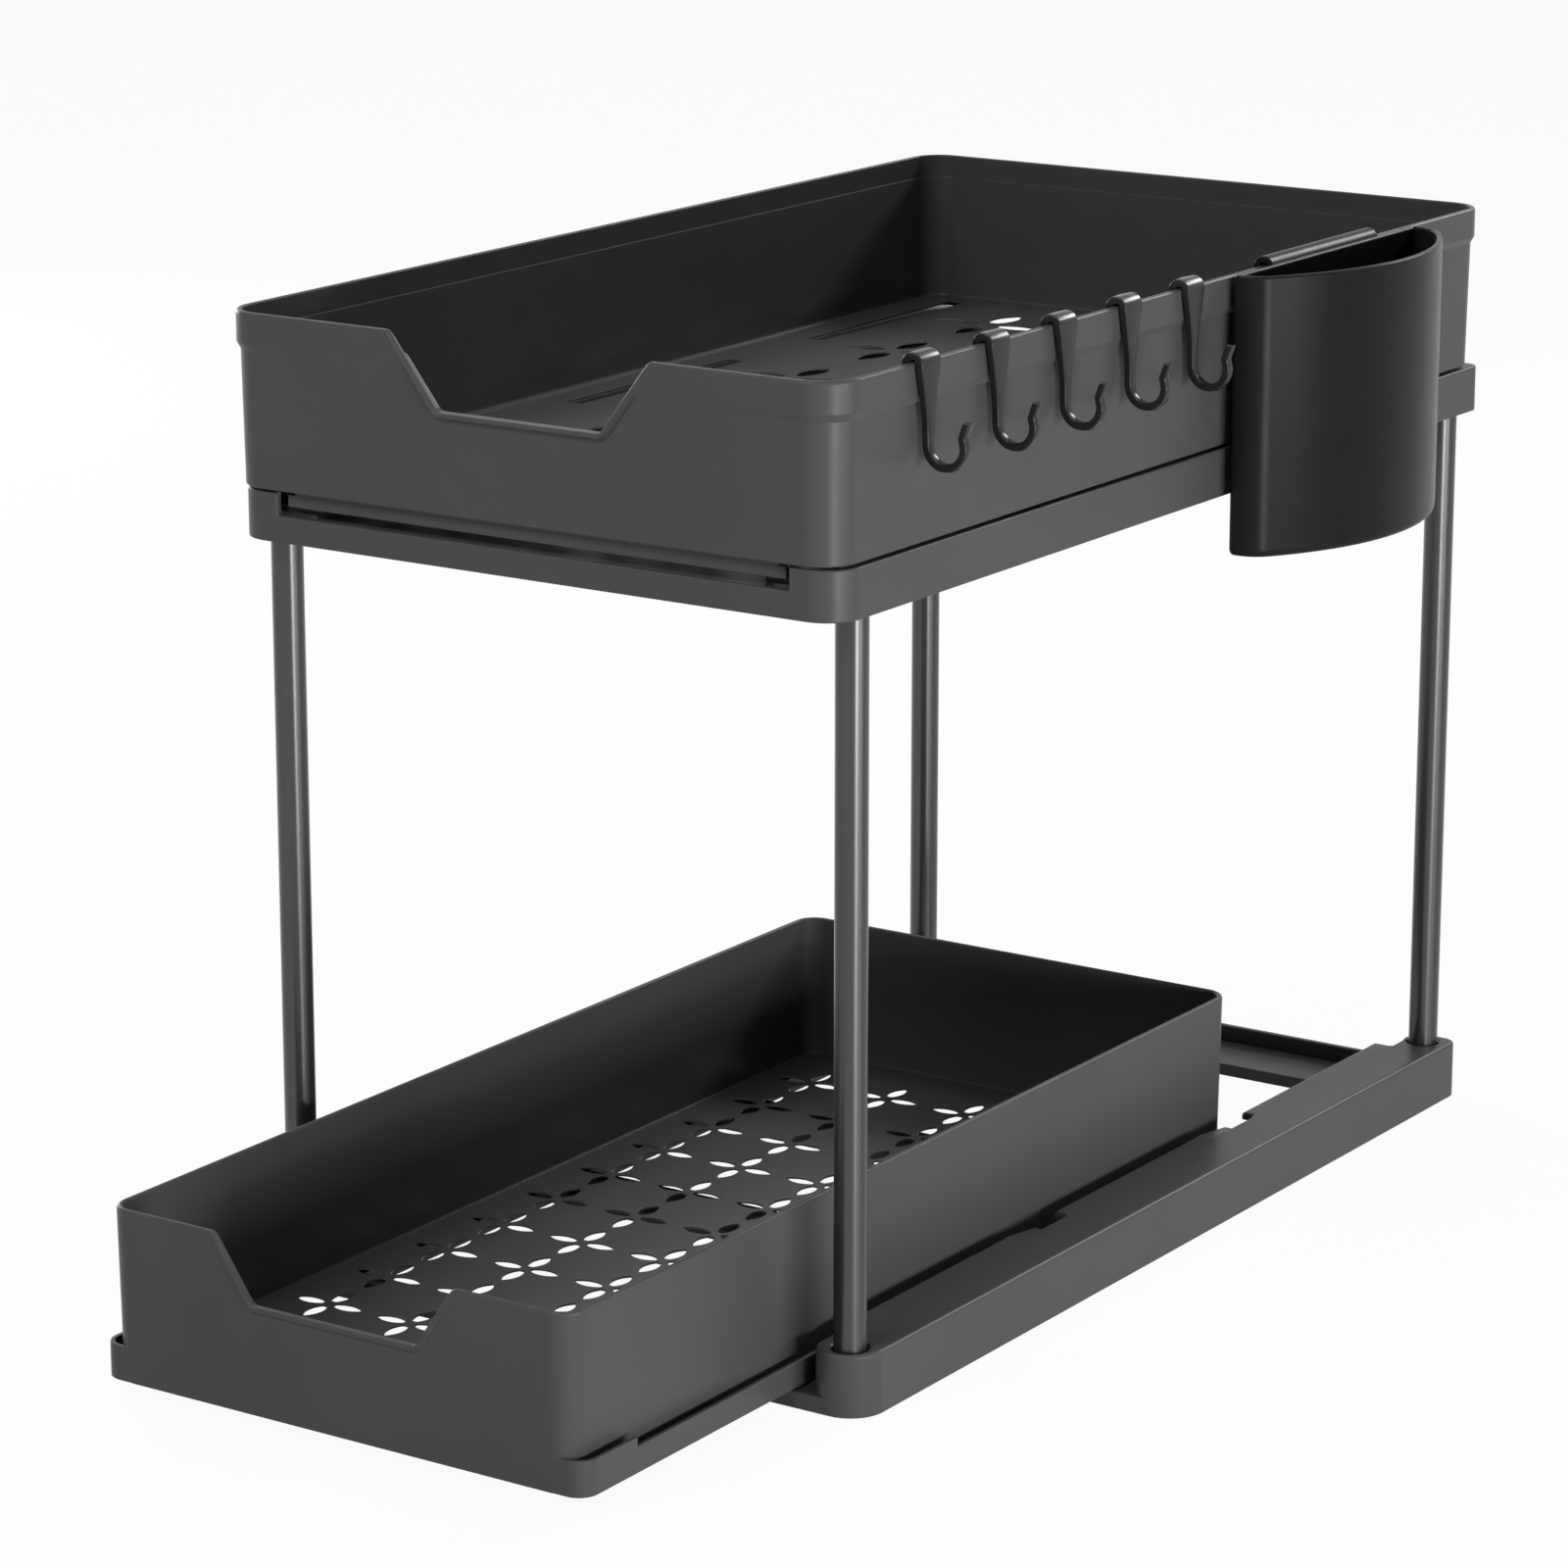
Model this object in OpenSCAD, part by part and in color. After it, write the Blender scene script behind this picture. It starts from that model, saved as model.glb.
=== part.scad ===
// Two-tier pull-out storage rack: two sliding trays on a base frame and an upper frame that four
// metal posts join, with five hooks and a cup hung on the upper tray's right rim.
// Millimetres, +Z up, front toward -Y, the hooks' side toward +X.
// The origin is the middle of the underside of the base frame's front sill, on the floor.
// The lower tray is drawn part-way out and the upper tray is drawn shut.

/* [Base frame] */
// Width of the base frame
base_w = 238; // [226:1:270]
// Length of the base frame, front to back
base_l = 402; // [380:1:460]
// Height of the base frame
base_h = 21; // [20:0.5:26]
// Radius of the base frame's front corners
base_front_r = 13; // [9:0.5:14]
// Radius of the frames' rear corners
frame_rear_r = 4.5; // [3:0.5:6]
// Width of each rail's top plate
rail_plate_w = 24; // [22:0.5:28]
// Width of the front bosses that hold the posts
front_boss_w = 21.3; // [20.5:0.1:24]
// Width of the rear bosses that hold the posts
rear_boss_w = 17; // [16:0.1:20]
// Length of the bosses, front to back
boss_l = 20; // [18:0.5:26]
// Distance from the rail's outer face to the inner edge of the ledge that carries the tray
ledge_w = 34; // [30:0.5:40]
// Height of the ledge that carries the lower tray
base_ledge_h = 6; // [5.5:0.1:7]
// Height of the flat bars across the base
cross_bar_h = 4.5; // [3:0.1:5]
// Width of the flat bars across the base
cross_bar_w = 26; // [18:1:34]
// Height of the wall along the rear bar
rear_wall_h = 10.4; // [8:0.1:14]
// Depth of the front sill
sill_d = 11; // [8:0.5:16]
// Radius of the front bosses' inner front corner
boss_round_r = 9; // [6:0.5:10]

/* [Frames] */
// Wall thickness of both frames
frame_wall = 2.5; // [2:0.1:3]
// How far the upper frame is set in from the base frame's sides
upper_inset = 3; // [0:0.5:5]
// How far the upper frame's front stands before the base frame's front
upper_front_over = 9.7; // [6:0.1:14]
// How far the upper frame's rear stands behind the base frame's rear
upper_rear_over = 6.4; // [4:0.1:10]
// Height of the upper frame
upper_frame_h = 16.3; // [15.5:0.1:19]
// Height of the upper frame's front and rear sills
upper_sill_h = 8.9; // [6:0.1:9.5]
// Depth of the webs behind those sills
upper_web_d = 14; // [8:0.5:18]
// Radius of the upper frame's front corners
upper_front_r = 12; // [8:0.5:14]
// Width of the solid ends beside the upper frame's front slot
slot_end_w = 18; // [16:0.5:20]
// Thickness of the plates over the upper tray's runners
cover_plate_t = 2; // [1.6:0.1:2.4]
// Least thickness of the walls round the upper frame's sockets
socket_wall = 1.7; // [1.2:0.1:2.5]

/* [Posts] */
// Outer diameter of the posts
post_d = 10.5; // [9:0.5:11]
// Wall thickness of the posts
post_wall = 1; // [0.6:0.1:1.5]
// Clear height between the base frame and the upper frame
post_clear_h = 234.7; // [200:1:300]
// Distance from the base frame's sides to the posts' centres
post_inset_x = 10; // [9.5:0.1:11]
// Distance from the base frame's ends to the posts' centres
post_inset_y = 8.5; // [8:0.1:10]
// Depth of the sockets in the base frame
base_socket_deep = 16; // [12:0.5:18]
// Depth of the sockets in the upper frame
upper_socket_deep = 9.3; // [7:0.1:9.6]
// Diameter of the sockets
socket_d = 11.5; // [11.4:0.1:12]
// Length of the plug's shank inside the post
plug_shank_l = 10; // [6:0.5:14]
// Height of the plug's head under the post
plug_head_h = 3; // [2:0.5:4]

/* [Lower tray] */
// Height of the lower tray
lower_tray_h = 57.7; // [45:0.5:80]
// Wall thickness of the trays and the cup
tray_wall = 2.2; // [1.8:0.1:2.4]
// Thickness of the trays' floors
tray_floor_t = 1.2; // [1:0.1:2.4]
// Height of the lower tray's floor over its lowest edge
lower_floor_h = 5.7; // [5:0.1:8]
// How far the lower tray is drawn out in the photographed pose
lower_tray_out = 113; // [60:1:120]
// Free run left behind the closed lower tray
lower_rear_gap = 3; // [1:0.5:6]
// Radius of the lower tray's upright corners
lower_tray_r = 9; // [6:0.5:10]
// Radius of the lower tray's runner corners
runner_r = 7; // [5:0.5:8]
// Width of the lower tray's runner outside the wall
runner_w = 3.9; // [3.4:0.1:5]
// Thickness of the runner's upright lip
runner_lip_t = 1.6; // [1.2:0.1:1.6]
// Height of the runner at the front of the lower tray
runner_front_h = 11.7; // [9:0.1:13]
// Height of the runner behind that
runner_h = 8.7; // [7:0.1:8.9]
// Length of the higher front stretch of the runner
runner_front_l = 28.5; // [20:0.5:40]
// Gap between the lower tray's runner and the front bosses
runner_side_gap = 3.9; // [2:0.1:4.5]
// Length of the lugs that hold the lower tray under the rail plates
lug_l = 10; // [6:0.5:12]
// How far the lugs reach outside the runner
lug_reach = 5.8; // [5:0.1:6.2]
// How far the front lugs run before they meet the front bosses
lower_tray_more = 93; // [60:1:110]
// Distance between the two lugs on a side
lug_pitch = 128.5; // [110:0.5:140]
// Width of the lower tray's scoop at the rim
lower_scoop_top_w = 92; // [80:1:110]
// Width of the lower tray's scoop at its bottom
lower_scoop_bottom_w = 63; // [50:1:76]
// Depth of the lower tray's scoop
lower_scoop_deep = 21.3; // [15:0.1:30]

/* [Upper tray] */
// Height of the upper tray from its lowest edge to its rim
upper_tray_h = 56.8; // [45:0.1:80]
// Height of the band below the upper tray's rim
band_h = 10; // [6:0.5:14]
// How far the band stands proud of the wall
band_out = 1.2; // [0.8:0.1:1.6]
// Thickness of the band, which is the upper tray's rim
rim_t = 2.3; // [2:0.1:2.6]
// How far the wall runs up behind the band
band_lap = 2; // [1:0.1:3]
// How far the upper tray's band stands outside the upper frame's sides
upper_tray_side_over = 1.6; // [1.3:0.1:2.4]
// How far the upper tray's band stands before the upper frame
upper_tray_front_over = 3.8; // [2.6:0.1:6]
// How far the upper tray's band stops short of the upper frame's rear
upper_tray_rear_short = 0.8; // [0.2:0.1:2]
// Height of the upper tray's floor over its lowest edge
upper_floor_h = 3.6; // [3:0.1:5]
// Radius of the upper tray's front corners
upper_tray_front_r = 14; // [10:0.5:16]
// Radius of the upper tray's rear corners
upper_tray_rear_r = 12.5; // [9:0.5:15]
// Width of the upper tray's scoop at the rim
upper_scoop_top_w = 99; // [80:1:120]
// Width of the upper tray's scoop at its bottom
upper_scoop_bottom_w = 62; // [50:1:78]
// Depth of the upper tray's scoop
upper_scoop_deep = 24; // [15:0.5:30]
// How far the upper tray draws out
upper_tray_out = 255; // [250:1:290]
// Gap between the runners' front face and the sides of the frame's slot
runner_face_gap = 2.5; // [2:0.1:3.5]
// Distance from the sides of the frame's slot to the necks that hang the upper tray's runners
neck_inset = 5.3; // [4.8:0.1:6]
// Height of the upper tray's runners at the front face
upper_runner_front_h = 4; // [3:0.1:4.3]
// Thickness of the upper tray's runners behind the front face
upper_runner_t = 2.4; // [1.8:0.1:2.4]
// How far the runners' front face stands before their necks
upper_runner_front_t = 1.8; // [1:0.1:2.5]
// Width of the runners' feet
upper_foot_w = 7; // [6:0.5:9]
// How far the runners' stops reach past the sides of the frame's slot
stop_reach = 2; // [1.5:0.1:4]

/* [Floor pattern] */
// Radius of the lower tray's four-petal cutouts
lower_petal_r = 13.3; // [10:0.1:14]
// Distance between the lower tray's columns of cutouts
lower_pitch_x = 33; // [30:0.5:40]
// Distance between the lower tray's rows of cutouts
lower_pitch_y = 31.2; // [29:0.1:40]
// Distance from the lower tray's rear face to its last row of cutouts
lower_first_row = 34.4; // [26:0.1:40]
// Radius of the upper tray's four-petal cutouts
upper_petal_r = 22.5; // [16:0.5:26]
// Distance between the upper tray's columns of cutouts
upper_pitch_x = 60.5; // [55:0.5:70]
// Distance between the upper tray's rows of cutouts
upper_pitch_y = 64.5; // [58:0.5:75]
// Width of the slots along the upper tray's sides
side_slot_w = 6.5; // [4:0.5:8]
// Length of the slots along the upper tray's sides
side_slot_l = 98; // [70:1:110]
// Distance between the slots' middles
side_slot_pitch = 149; // [125:1:150]

/* [Hooks] */
// Distance between the hooks
hook_pitch = 40; // [32:0.5:42]
// Distance from the base frame's middle to the rearmost hook, toward the front
last_hook_y = 6.4; // [4:0.1:20]
// Width of a hook's strap at the rim
hook_top_w = 10.7; // [9:0.1:12]
// Width of a hook below the strap
hook_low_w = 3.2; // [2.6:0.1:4]
// Thickness of the hooks and of the cup's clip
hook_t = 2.4; // [2:0.1:2.6]
// Height of a hook
hook_h = 36.5; // [34:0.5:45]
// Outer width of a hook's bend
hook_bend_w = 15.7; // [14:0.1:18]
// Height of a hook's tip over its lowest point
hook_tip_h = 15.8; // [14:0.1:18]
// Height of the tip's outward bent end
hook_lean_h = 4.8; // [4:0.1:6]
// How far that end leans outward
hook_lean = 1.7; // [1:0.1:2]

/* [Cup] */
// Width of the cup along the rim
cup_w = 126; // [100:1:130]
// Depth of the cup, out from the rim
cup_d = 32.2; // [30:0.1:40]
// Height of the cup
cup_h = 94; // [70:1:110]
// Depth of the cup's straight sides, behind its rounded corners
cup_side_d = 3.9; // [2:0.1:8]
// Radius of the cup's upright corners
cup_corner_r = 12; // [9:0.5:14]
// Distance from the base frame's middle to the cup's middle, toward the rear
cup_y = 81.5; // [75:0.5:100]
// Width of the cup's clip
cup_clip_w = 74; // [50:1:90]
// Height of the cup's edge over the upper tray's rim
cup_over_rim = 0.8; // [0:0.1:1.5]
// Gap between the cup's back and the upper tray's band
cup_back_gap = 1.7; // [1:0.1:3]

/* [Clearances] */
// Gap under a runner that slides on a ledge
slide_gap = 0.3; // [0.2:0.05:0.5]
// Gap between the upper tray's lowest edge and the upper frame
tray_over_frame = 0.9; // [0.5:0.1:1.5]
// Gap between a clip and the sides of the rim that it hangs on
clip_gap = 0.2; // [0.15:0.05:0.3]
// Gap between a clip's arch and the rim's top edges
clip_rest_gap = 0.1; // [0.05:0.01:0.1]
// Gap between a clip's inner leg and the top of the wall below it
clip_foot_gap = 1.3; // [0.5:0.1:2]
// Radial gap between a plug and its socket or post
plug_gap = 0.05; // [0.03:0.01:0.1]
// Gap between the neck of the upper tray's runner and the plate beside it
neck_gap = 0.9; // [0.5:0.1:1]
// Gap between the upper tray's runners and the sides of the frame's slot
slot_gap = 0.8; // [0.4:0.1:1]
// Gap between the necks and the slots in the upper tray's floor
side_slot_gap = 0.3; // [0.2:0.1:1]
// Drop from the ledges to the base frame's front sill, which the tray passes over
sill_gap = 0.2; // [0.1:0.1:0.5]

/* [Hidden] */
$fn = 64;
eps = 0.01;
plastic = [0.26, 0.26, 0.27];
dark_plastic = [0.2, 0.2, 0.21];
metal = [0.34, 0.34, 0.35];

// The base frame's middle lies this far behind the origin
base_mid_y = base_l / 2 - sill_d / 2;
base_x = base_w / 2;
base_y = base_l / 2;
post_x = base_x - post_inset_x;
post_y = base_y - post_inset_y;
base_socket_z = base_h - base_socket_deep;

// The rails' holes that the lugs drop through, and the ramps before them
rail_in_x = base_x - rail_plate_w;
hole_front_y = -59.5;
hole_l = lug_l + 2;
hole_deep = 5.3;
ramp_l = 18.5;
cross_bar_1_y = -85;
cross_bar_2_y = 15.5;

// The upper frame's levels and outline
upper_z = base_h + post_clear_h;
upper_x = base_x - upper_inset;
upper_front_y = -base_y - upper_front_over;
upper_rear_y = base_y + upper_rear_over;
upper_top_z = upper_z + upper_frame_h;
cover_z = upper_top_z - cover_plate_t;
upper_runner_z = cover_z - slide_gap - upper_runner_t;
upper_ledge_z = upper_runner_z - slide_gap;
cover_front_y = upper_front_y + frame_wall + upper_runner_front_t + tray_wall + slide_gap;
lip_up = 1.5;
slot_x = upper_x - slot_end_w;
upper_runner_x = slot_x - slot_gap;
runner_face_x = slot_x - runner_face_gap;
neck_x = slot_x - neck_inset;
cover_in_x = neck_x + neck_gap;

// The lower tray's outline
boss_in_x = base_x - front_boss_w;
runner_x = boss_in_x - runner_side_gap;
lower_x = runner_x - runner_w;
lower_z = base_ledge_h + slide_gap;
lower_closed_front_y = -base_y;
lower_front_y = lower_closed_front_y - lower_tray_out;
lower_rear_y = base_y - frame_wall - lower_rear_gap - lower_tray_out;
lower_top_z = lower_z + lower_tray_h;
front_lug_y = -base_y + boss_l + lower_tray_more;

// The upper tray's outline
band_x = upper_x + upper_tray_side_over;
band_front_y = upper_front_y - upper_tray_front_over;
band_rear_y = upper_rear_y - upper_tray_rear_short;
tray_z = upper_top_z + tray_over_frame;
rim_z = tray_z + upper_tray_h;
wall_x = band_x - band_out;
tray_mid_y = (band_front_y + band_rear_y) / 2;
upper_stop_y = upper_front_y + frame_wall + upper_tray_out;
side_slot_x = neck_x + side_slot_gap + side_slot_w / 2;

// The number of hooks, as many as are named below
hook_count = 5;

// The clips' arch over the rim, seen from the side: x out from the middle, z up
arch_in_r = rim_t / 2 + clip_gap;
arch_out_r = arch_in_r + hook_t;
arch_x = band_x - rim_t / 2;
arch_z = rim_z - sqrt(pow(arch_in_r - clip_rest_gap, 2) - pow(rim_t / 2, 2));
clip_top_z = arch_z + arch_out_r;
clip_foot_z = rim_z - band_h + band_lap + clip_foot_gap;
strap_x = arch_x + arch_in_r;
hook_low_z = clip_top_z - hook_h;
bend_r = hook_bend_w / 2;
bend_z = hook_low_z + bend_r;

cup_back_x = band_x + cup_back_gap;
cup_corner_y = cup_w / 2 - cup_corner_r;
cup_corner_x = cup_back_x + cup_side_d;
cup_bow_d = cup_d - cup_side_d;
// The bowed front touches both corner circles and reaches the cup's full depth in the middle
cup_front_r = (pow(cup_bow_d, 2) + pow(cup_corner_y, 2) - pow(cup_corner_r, 2))
    / (2 * (cup_bow_d - cup_corner_r));
cup_bow_x = cup_back_x + cup_d - cup_front_r;
cup_top_z = rim_z + cup_over_rim;

// Moves a piece that is drawn about the base frame's middle to its place from the origin
module from_middle() {
    translate([0, base_mid_y, 0]) children();
}

// A box between two corners
module block(low, high) {
    translate(low) cube(high - low);
}

// The same piece on the left and on the right
module both_sides() {
    children();
    mirror([1, 0, 0]) children();
}

// An outline with its own corner radius at the front and at the rear
module outline(half_w, front_y, rear_y, front_r, rear_r) {
    translate([-half_w, front_y + front_r]) square([2 * half_w, rear_y - rear_r - front_y - front_r]);
    translate([-half_w + front_r, front_y]) square([2 * (half_w - front_r), front_r + eps]);
    translate([-half_w + rear_r, rear_y - rear_r - eps]) square([2 * (half_w - rear_r), rear_r + eps]);
    for (side = [-1, 1]) {
        translate([side * (half_w - front_r), front_y + front_r]) circle(r = front_r);
        translate([side * (half_w - rear_r), rear_y - rear_r]) circle(r = rear_r);
    }
}

// A closed wall that follows such an outline
module wall_ring(half_w, front_y, rear_y, front_r, rear_r, t, h) {
    linear_extrude(h) difference() {
        outline(half_w, front_y, rear_y, front_r, rear_r);
        outline(half_w - t, front_y + t, rear_y - t, max(front_r - t, 0.5), max(rear_r - t, 0.5));
    }
}

// A leaf-shaped hole from near the middle out to a tip at radius r, along +X
module petal(r) {
    inner = 0.09 * r;
    long = r - inner;
    wide = 0.39 * r;
    arc_r = (long * long + wide * wide) / (4 * wide);
    intersection_for (side = [-1, 1]) {
        translate([inner + long / 2, side * (arc_r - wide / 2)]) circle(r = arc_r);
    }
}

// Four petals about one middle
module flower(r) {
    difference() {
        for (turn = [0:3]) rotate(90 * turn) petal(r);
        circle(r = 0.17 * r);
    }
}

// The scoop in a tray's front wall, cut through it along Y
module scoop(top_w, bottom_w, deep, front_y, t) {
    over = 1;
    slope = (top_w - bottom_w) / 2 / deep;
    translate([0, front_y + t + over, 0]) rotate([90, 0, 0]) linear_extrude(t + 2 * over) polygon([
        [-bottom_w / 2, -deep], [bottom_w / 2, -deep],
        [top_w / 2 + slope * over, over], [-top_w / 2 - slope * over, over]
    ]);
}

// One side rail of the base frame, on the right
module base_rail() {
    rear_y = base_y - boss_l;
    // Outer wall
    block([base_x - frame_wall, -base_y + boss_l - eps, 0], [base_x, rear_y + eps, base_h]);
    // Top plate, with a ramp down to a hole at each place where a lug drops in
    difference() {
        block([rail_in_x, -base_y + boss_l - eps, base_h - frame_wall], [base_x - eps, rear_y + eps, base_h]);
        for (y = [hole_front_y, hole_front_y + lug_pitch]) {
            block([rail_in_x - 1, y, 0], [rail_in_x + hole_deep, y + hole_l, base_h + 1]);
            translate([rail_in_x + hole_deep, y, base_h]) rotate([90, 0, -90]) linear_extrude(hole_deep + 1)
                polygon([[-eps, 1], [ramp_l, 1], [ramp_l, 0], [-eps, -frame_wall + 0.4]]);
        }
    }
    // Ledge that the tray's runner slides on, with its inner lip down to the floor
    block([base_x - ledge_w, -base_y + sill_d - eps, base_ledge_h - frame_wall],
        [base_x - eps, base_y - frame_wall + eps, base_ledge_h]);
    block([base_x - ledge_w, -base_y + sill_d - eps, 0],
        [base_x - ledge_w + frame_wall, base_y - frame_wall + eps, base_ledge_h - eps]);
}

// The corner blocks that hold the posts, on the right
module base_boss_front() {
    linear_extrude(base_h) intersection() {
        outline(base_x, -base_y, base_y, base_front_r, frame_rear_r);
        union() {
            translate([boss_in_x + boss_round_r, -base_y]) square([front_boss_w, boss_l]);
            translate([boss_in_x, -base_y + boss_round_r]) square([front_boss_w, boss_l - boss_round_r]);
            translate([boss_in_x + boss_round_r, -base_y + boss_round_r]) circle(r = boss_round_r);
        }
    }
}

module base_boss_rear() {
    linear_extrude(base_h) intersection() {
        outline(base_x, -base_y, base_y, base_front_r, frame_rear_r);
        translate([base_x - rear_boss_w, base_y - boss_l]) square([rear_boss_w, boss_l]);
    }
}

// A round socket for a post, opening upward or downward
module sockets(low_z, high_z) {
    for (x = [-post_x, post_x], y = [-post_y, post_y]) {
        translate([x, y, low_z]) cylinder(d = socket_d, h = high_z - low_z);
    }
}

module base_frame() {
    bar_x = base_x - ledge_w + eps;
    color(plastic) from_middle() difference() {
        union() {
            both_sides() {
                base_rail();
                base_boss_front();
                base_boss_rear();
            }
            // Front sill, which the tray passes over
            block([-boss_in_x - boss_round_r / 2, -base_y, 0],
                [boss_in_x + boss_round_r / 2, -base_y + sill_d, base_ledge_h - sill_gap]);
            // Flat bars across the base, and the wall along the rear one
            for (y = [cross_bar_1_y, cross_bar_2_y, base_y - cross_bar_w - frame_wall]) {
                block([-bar_x, y, cross_bar_h - frame_wall], [bar_x, y + cross_bar_w, cross_bar_h]);
                block([-bar_x, y, 0], [bar_x, y + frame_wall, cross_bar_h]);
                block([-bar_x, y + cross_bar_w - frame_wall, 0], [bar_x, y + cross_bar_w, cross_bar_h]);
            }
            block([-base_x + rear_boss_w - 1, base_y - frame_wall, 0],
                [base_x - rear_boss_w + 1, base_y, rear_wall_h]);
        }
        sockets(base_socket_z, base_h + 1);
    }
}

// One side rail of the upper frame, on the right, inside its outer wall
module upper_rail() {
    wall_in_x = upper_x - frame_wall + eps;
    front_y = upper_front_y + frame_wall;
    rear_y = upper_rear_y - frame_wall;
    // Plate over the tray's runner
    block([cover_in_x, cover_front_y, cover_z], [wall_in_x, rear_y + eps, upper_top_z]);
    // Ledge under the tray's runner, with its inner lip
    block([base_x - ledge_w, front_y - eps, upper_ledge_z - frame_wall],
        [wall_in_x, rear_y + eps, upper_ledge_z]);
    block([base_x - ledge_w, front_y - eps, upper_z + lip_up],
        [base_x - ledge_w + frame_wall, rear_y + eps, upper_ledge_z - eps]);
}

// The corner blocks of the upper frame, which the posts end in
module upper_boss(y0, y1) {
    linear_extrude(upper_ledge_z - upper_z) intersection() {
        outline(upper_x, upper_front_y, upper_rear_y, upper_front_r, frame_rear_r);
        translate([post_x - socket_d / 2 - socket_wall, y0]) square([upper_x, y1 - y0]);
    }
}

module upper_frame() {
    boss_d = post_inset_y + socket_d / 2 + socket_wall;
    color(plastic) from_middle() difference() {
        union() {
            translate([0, 0, upper_z]) wall_ring(upper_x, upper_front_y, upper_rear_y,
                upper_front_r, frame_rear_r, frame_wall, upper_frame_h);
            both_sides() {
                upper_rail();
                translate([0, 0, upper_z]) upper_boss(upper_front_y, -base_y + boss_d);
                translate([0, 0, upper_z]) upper_boss(base_y - boss_d, upper_rear_y);
            }
            // Webs behind the front and rear sills
            block([-base_x + ledge_w, upper_front_y + 1, upper_z + upper_sill_h - frame_wall],
                [base_x - ledge_w, upper_front_y + upper_web_d, upper_z + upper_sill_h]);
            block([-base_x + ledge_w, upper_rear_y - upper_web_d, upper_z + upper_sill_h - frame_wall],
                [base_x - ledge_w, upper_rear_y - 1, upper_z + upper_sill_h]);
        }
        // Slots that the tray's runners pass through, open upward, at the front and at the rear
        block([-slot_x, upper_front_y - 1, upper_z + upper_sill_h],
            [slot_x, upper_front_y + frame_wall, upper_top_z + 1]);
        block([-slot_x, upper_rear_y - frame_wall, upper_z + upper_sill_h],
            [slot_x, upper_rear_y + 1, upper_top_z + 1]);
        sockets(upper_z - 1, upper_z + upper_socket_deep);
    }
}

// The lower tray's runner on the right: a foot, an upright lip and two lugs
module lower_runner() {
    lip_x = runner_x - runner_lip_t;
    rear_y = lower_rear_y - runner_r;
    block([lower_x - tray_wall, lower_front_y + runner_r, lower_z],
        [runner_x, rear_y, lower_z + runner_lip_t]);
    block([lip_x, lower_front_y + runner_r, lower_z],
        [runner_x, lower_front_y + runner_front_l, lower_z + runner_front_h]);
    block([lip_x, lower_front_y + runner_r, lower_z], [runner_x, rear_y, lower_z + runner_h]);
    for (y = [front_lug_y, front_lug_y + lug_pitch]) {
        block([lip_x, y, lower_z], [runner_x + lug_reach, y + lug_l, base_h - frame_wall - slide_gap]);
    }
}

// The foot of the lower tray's front wall, whose lip runs round into the runners
module lower_front_foot() {
    intersection() {
        translate([0, 0, lower_z]) union() {
            wall_ring(runner_x, lower_front_y, lower_rear_y, runner_r, runner_r,
                runner_lip_t, runner_front_h);
            linear_extrude(runner_lip_t) difference() {
                outline(runner_x, lower_front_y, lower_rear_y, runner_r, runner_r);
                translate([-lower_x + 1, lower_front_y + tray_wall]) square([2 * lower_x - 2, base_l]);
            }
        }
        block([-runner_x, lower_front_y, lower_z],
            [runner_x, lower_front_y + runner_r + eps, lower_z + runner_front_h]);
    }
}

module lower_tray() {
    floor_top_z = lower_z + lower_floor_h;
    // Columns and rows of cutouts that the floor has room for
    margin = 4;
    columns = floor((2 * (lower_x - tray_wall - margin - lower_petal_r)) / lower_pitch_x) + 1;
    rows = floor((lower_rear_y - lower_front_y - lower_first_row - lower_petal_r - tray_wall - margin)
        / lower_pitch_y) + 1;
    color(plastic) from_middle() difference() {
        union() {
            translate([0, 0, lower_z]) wall_ring(lower_x, lower_front_y, lower_rear_y,
                lower_tray_r, lower_tray_r, tray_wall, lower_tray_h);
            // Floor with its four-petal cutouts
            translate([0, 0, floor_top_z - tray_floor_t]) linear_extrude(tray_floor_t) difference() {
                outline(lower_x - 1, lower_front_y + 1, lower_rear_y - 1, lower_tray_r - 1, lower_tray_r - 1);
                for (column = [0:columns - 1], row = [0:rows - 1]) {
                    translate([
                        (column - (columns - 1) / 2) * lower_pitch_x,
                        lower_rear_y - lower_first_row - row * lower_pitch_y
                    ]) flower(lower_petal_r);
                }
            }
            lower_front_foot();
            both_sides() lower_runner();
        }
        translate([0, 0, lower_top_z]) scoop(lower_scoop_top_w, lower_scoop_bottom_w, lower_scoop_deep,
            lower_front_y, tray_wall);
    }
}

// The upper tray's runner on the right: a neck, a foot that slides under the plate, and a stop
module upper_runner() {
    front_y = upper_front_y + frame_wall;
    rear_y = upper_rear_y - frame_wall - 1;
    block([neck_x - tray_wall, front_y + upper_runner_front_t, upper_runner_z],
        [neck_x, rear_y, tray_z + upper_floor_h - tray_floor_t + eps]);
    block([upper_runner_x - upper_foot_w, front_y + tray_wall, upper_runner_z],
        [upper_runner_x, rear_y, upper_runner_z + upper_runner_t]);
    block([upper_runner_x - 1, upper_stop_y, upper_runner_z],
        [slot_x + stop_reach, upper_stop_y + lug_l, upper_runner_z + upper_runner_t]);
}

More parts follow.
